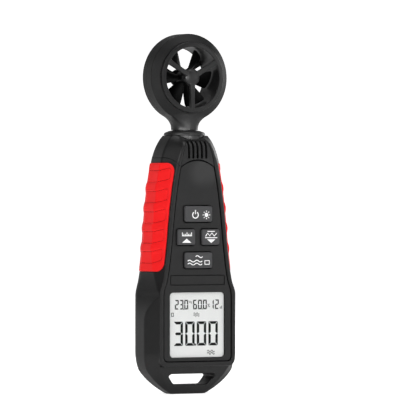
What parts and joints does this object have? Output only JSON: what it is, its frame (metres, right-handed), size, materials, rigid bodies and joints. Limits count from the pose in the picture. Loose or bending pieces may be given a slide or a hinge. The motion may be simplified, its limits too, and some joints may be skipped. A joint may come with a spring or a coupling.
{
  "type": "vane anemometer",
  "caption": "Handheld vane anemometer: tapered handle with display, keys and side grips, and a ring head whose impeller measures air speed and which swivels on its neck.",
  "frame": {"origin": "centre of the whole object's footprint at the bottom end of the handle, on the swivel axis of the head", "axes": "+Z from the handle's bottom end to the top of the ring; -Y is the display side; +X is to the right of a person reading the display"},
  "size_m": [0.0562, 0.032, 0.1966],
  "materials": {
    "case_black": "fine-textured moulded ABS",
    "panel_black": "satin moulded ABS",
    "grip_red": "soft over-moulded elastomer, matt",
    "window_clear": "clear polished acrylic",
    "display_grey": "reflective liquid crystal cell",
    "light_guide": "frosted acrylic light guide",
    "board_green": "solder-masked circuit board",
    "silicone": "moulded silicone",
    "chip_black": "moulded epoxy",
    "cable_grey": "soft cable sleeve",
    "nickel": "nickel-plated spring steel",
    "cell_sleeve": "shrink sleeve on a steel can",
    "screw_steel": "zinc-plated steel",
    "bearing_bronze": "sintered bronze",
    "key_grey": "moulded silicone key, matt",
    "vane_black": "thin moulded blades, slight sheen"
  },
  "bodies": {
    "case": {"front_case": "case_black", "rear_case": "case_black", "front_panel": "panel_black", "vent_grille": "panel_black", "swivel_collar": "case_black", "left_grip": "grip_red", "right_grip": "grip_red", "display_window": "window_clear", "lcd_glass": "display_grey", "lcd_backlight": "light_guide", "main_board": "board_green", "keypad_membrane": "silicone", "controller_chip": "chip_black", "humidity_sensor": "chip_black", "board_cable": "cable_grey", "contact_positive": "nickel", "contact_negative": "nickel", "contact_bridge_low": "nickel", "contact_bridge_high": "nickel", "power_switch": "chip_black", "unit_switch": "chip_black", "hold_switch": "chip_black", "mode_switch": "chip_black", "battery_1": "cell_sleeve", "battery_2": "cell_sleeve", "battery_3": "cell_sleeve", "case_screw_1": "screw_steel", "case_screw_2": "screw_steel", "case_screw_3": "screw_steel", "case_screw_4": "screw_steel"},
    "head": {"head_front_shell": "case_black", "head_rear_shell": "case_black", "vane_duct": "case_black", "rear_spider": "case_black", "front_bearing": "bearing_bronze", "rear_bearing": "bearing_bronze", "blade_sensor": "chip_black", "sensor_cable": "cable_grey", "retaining_clip": "screw_steel", "friction_washer": "silicone", "head_screw_1": "screw_steel", "head_screw_2": "screw_steel"},
    "vane": {"impeller": "vane_black", "impeller_shaft": "screw_steel"},
    "battery_cover": {"battery_cover": "case_black", "cover_screw": "screw_steel"},
    "power_button": {"power_button": "key_grey"},
    "unit_button": {"unit_button": "key_grey"},
    "hold_button": {"hold_button": "key_grey"},
    "mode_button": {"mode_button": "key_grey"}
  },
  "joints": [
    {"name": "head_swivel", "type": "hinge", "parent": "case", "child": "head", "pos_m": [0, 0, 0.1435], "axis": [0, 0, 1], "range_deg": [-90, 90]},
    {"name": "vane_spin", "type": "hinge", "parent": "head", "child": "vane", "pos_m": [0, 0, 0.1727], "axis": [0, 1, 0], "continuous": true},
    {"name": "battery_cover_tilt", "type": "hinge", "parent": "case", "child": "battery_cover", "pos_m": [0, 0.0159, 0.0859], "axis": [1, 0, 0], "range_deg": [0, 40]},
    {"name": "power_press", "type": "slide", "parent": "case", "child": "power_button", "axis": [0, 1, 0], "range_m": [0, 0.0008]},
    {"name": "unit_press", "type": "slide", "parent": "case", "child": "unit_button", "axis": [0, 1, 0], "range_m": [0, 0.0008]},
    {"name": "hold_press", "type": "slide", "parent": "case", "child": "hold_button", "axis": [0, 1, 0], "range_m": [0, 0.0008]},
    {"name": "mode_press", "type": "slide", "parent": "case", "child": "mode_button", "axis": [0, 1, 0], "range_m": [0, 0.0008]}
  ]
}
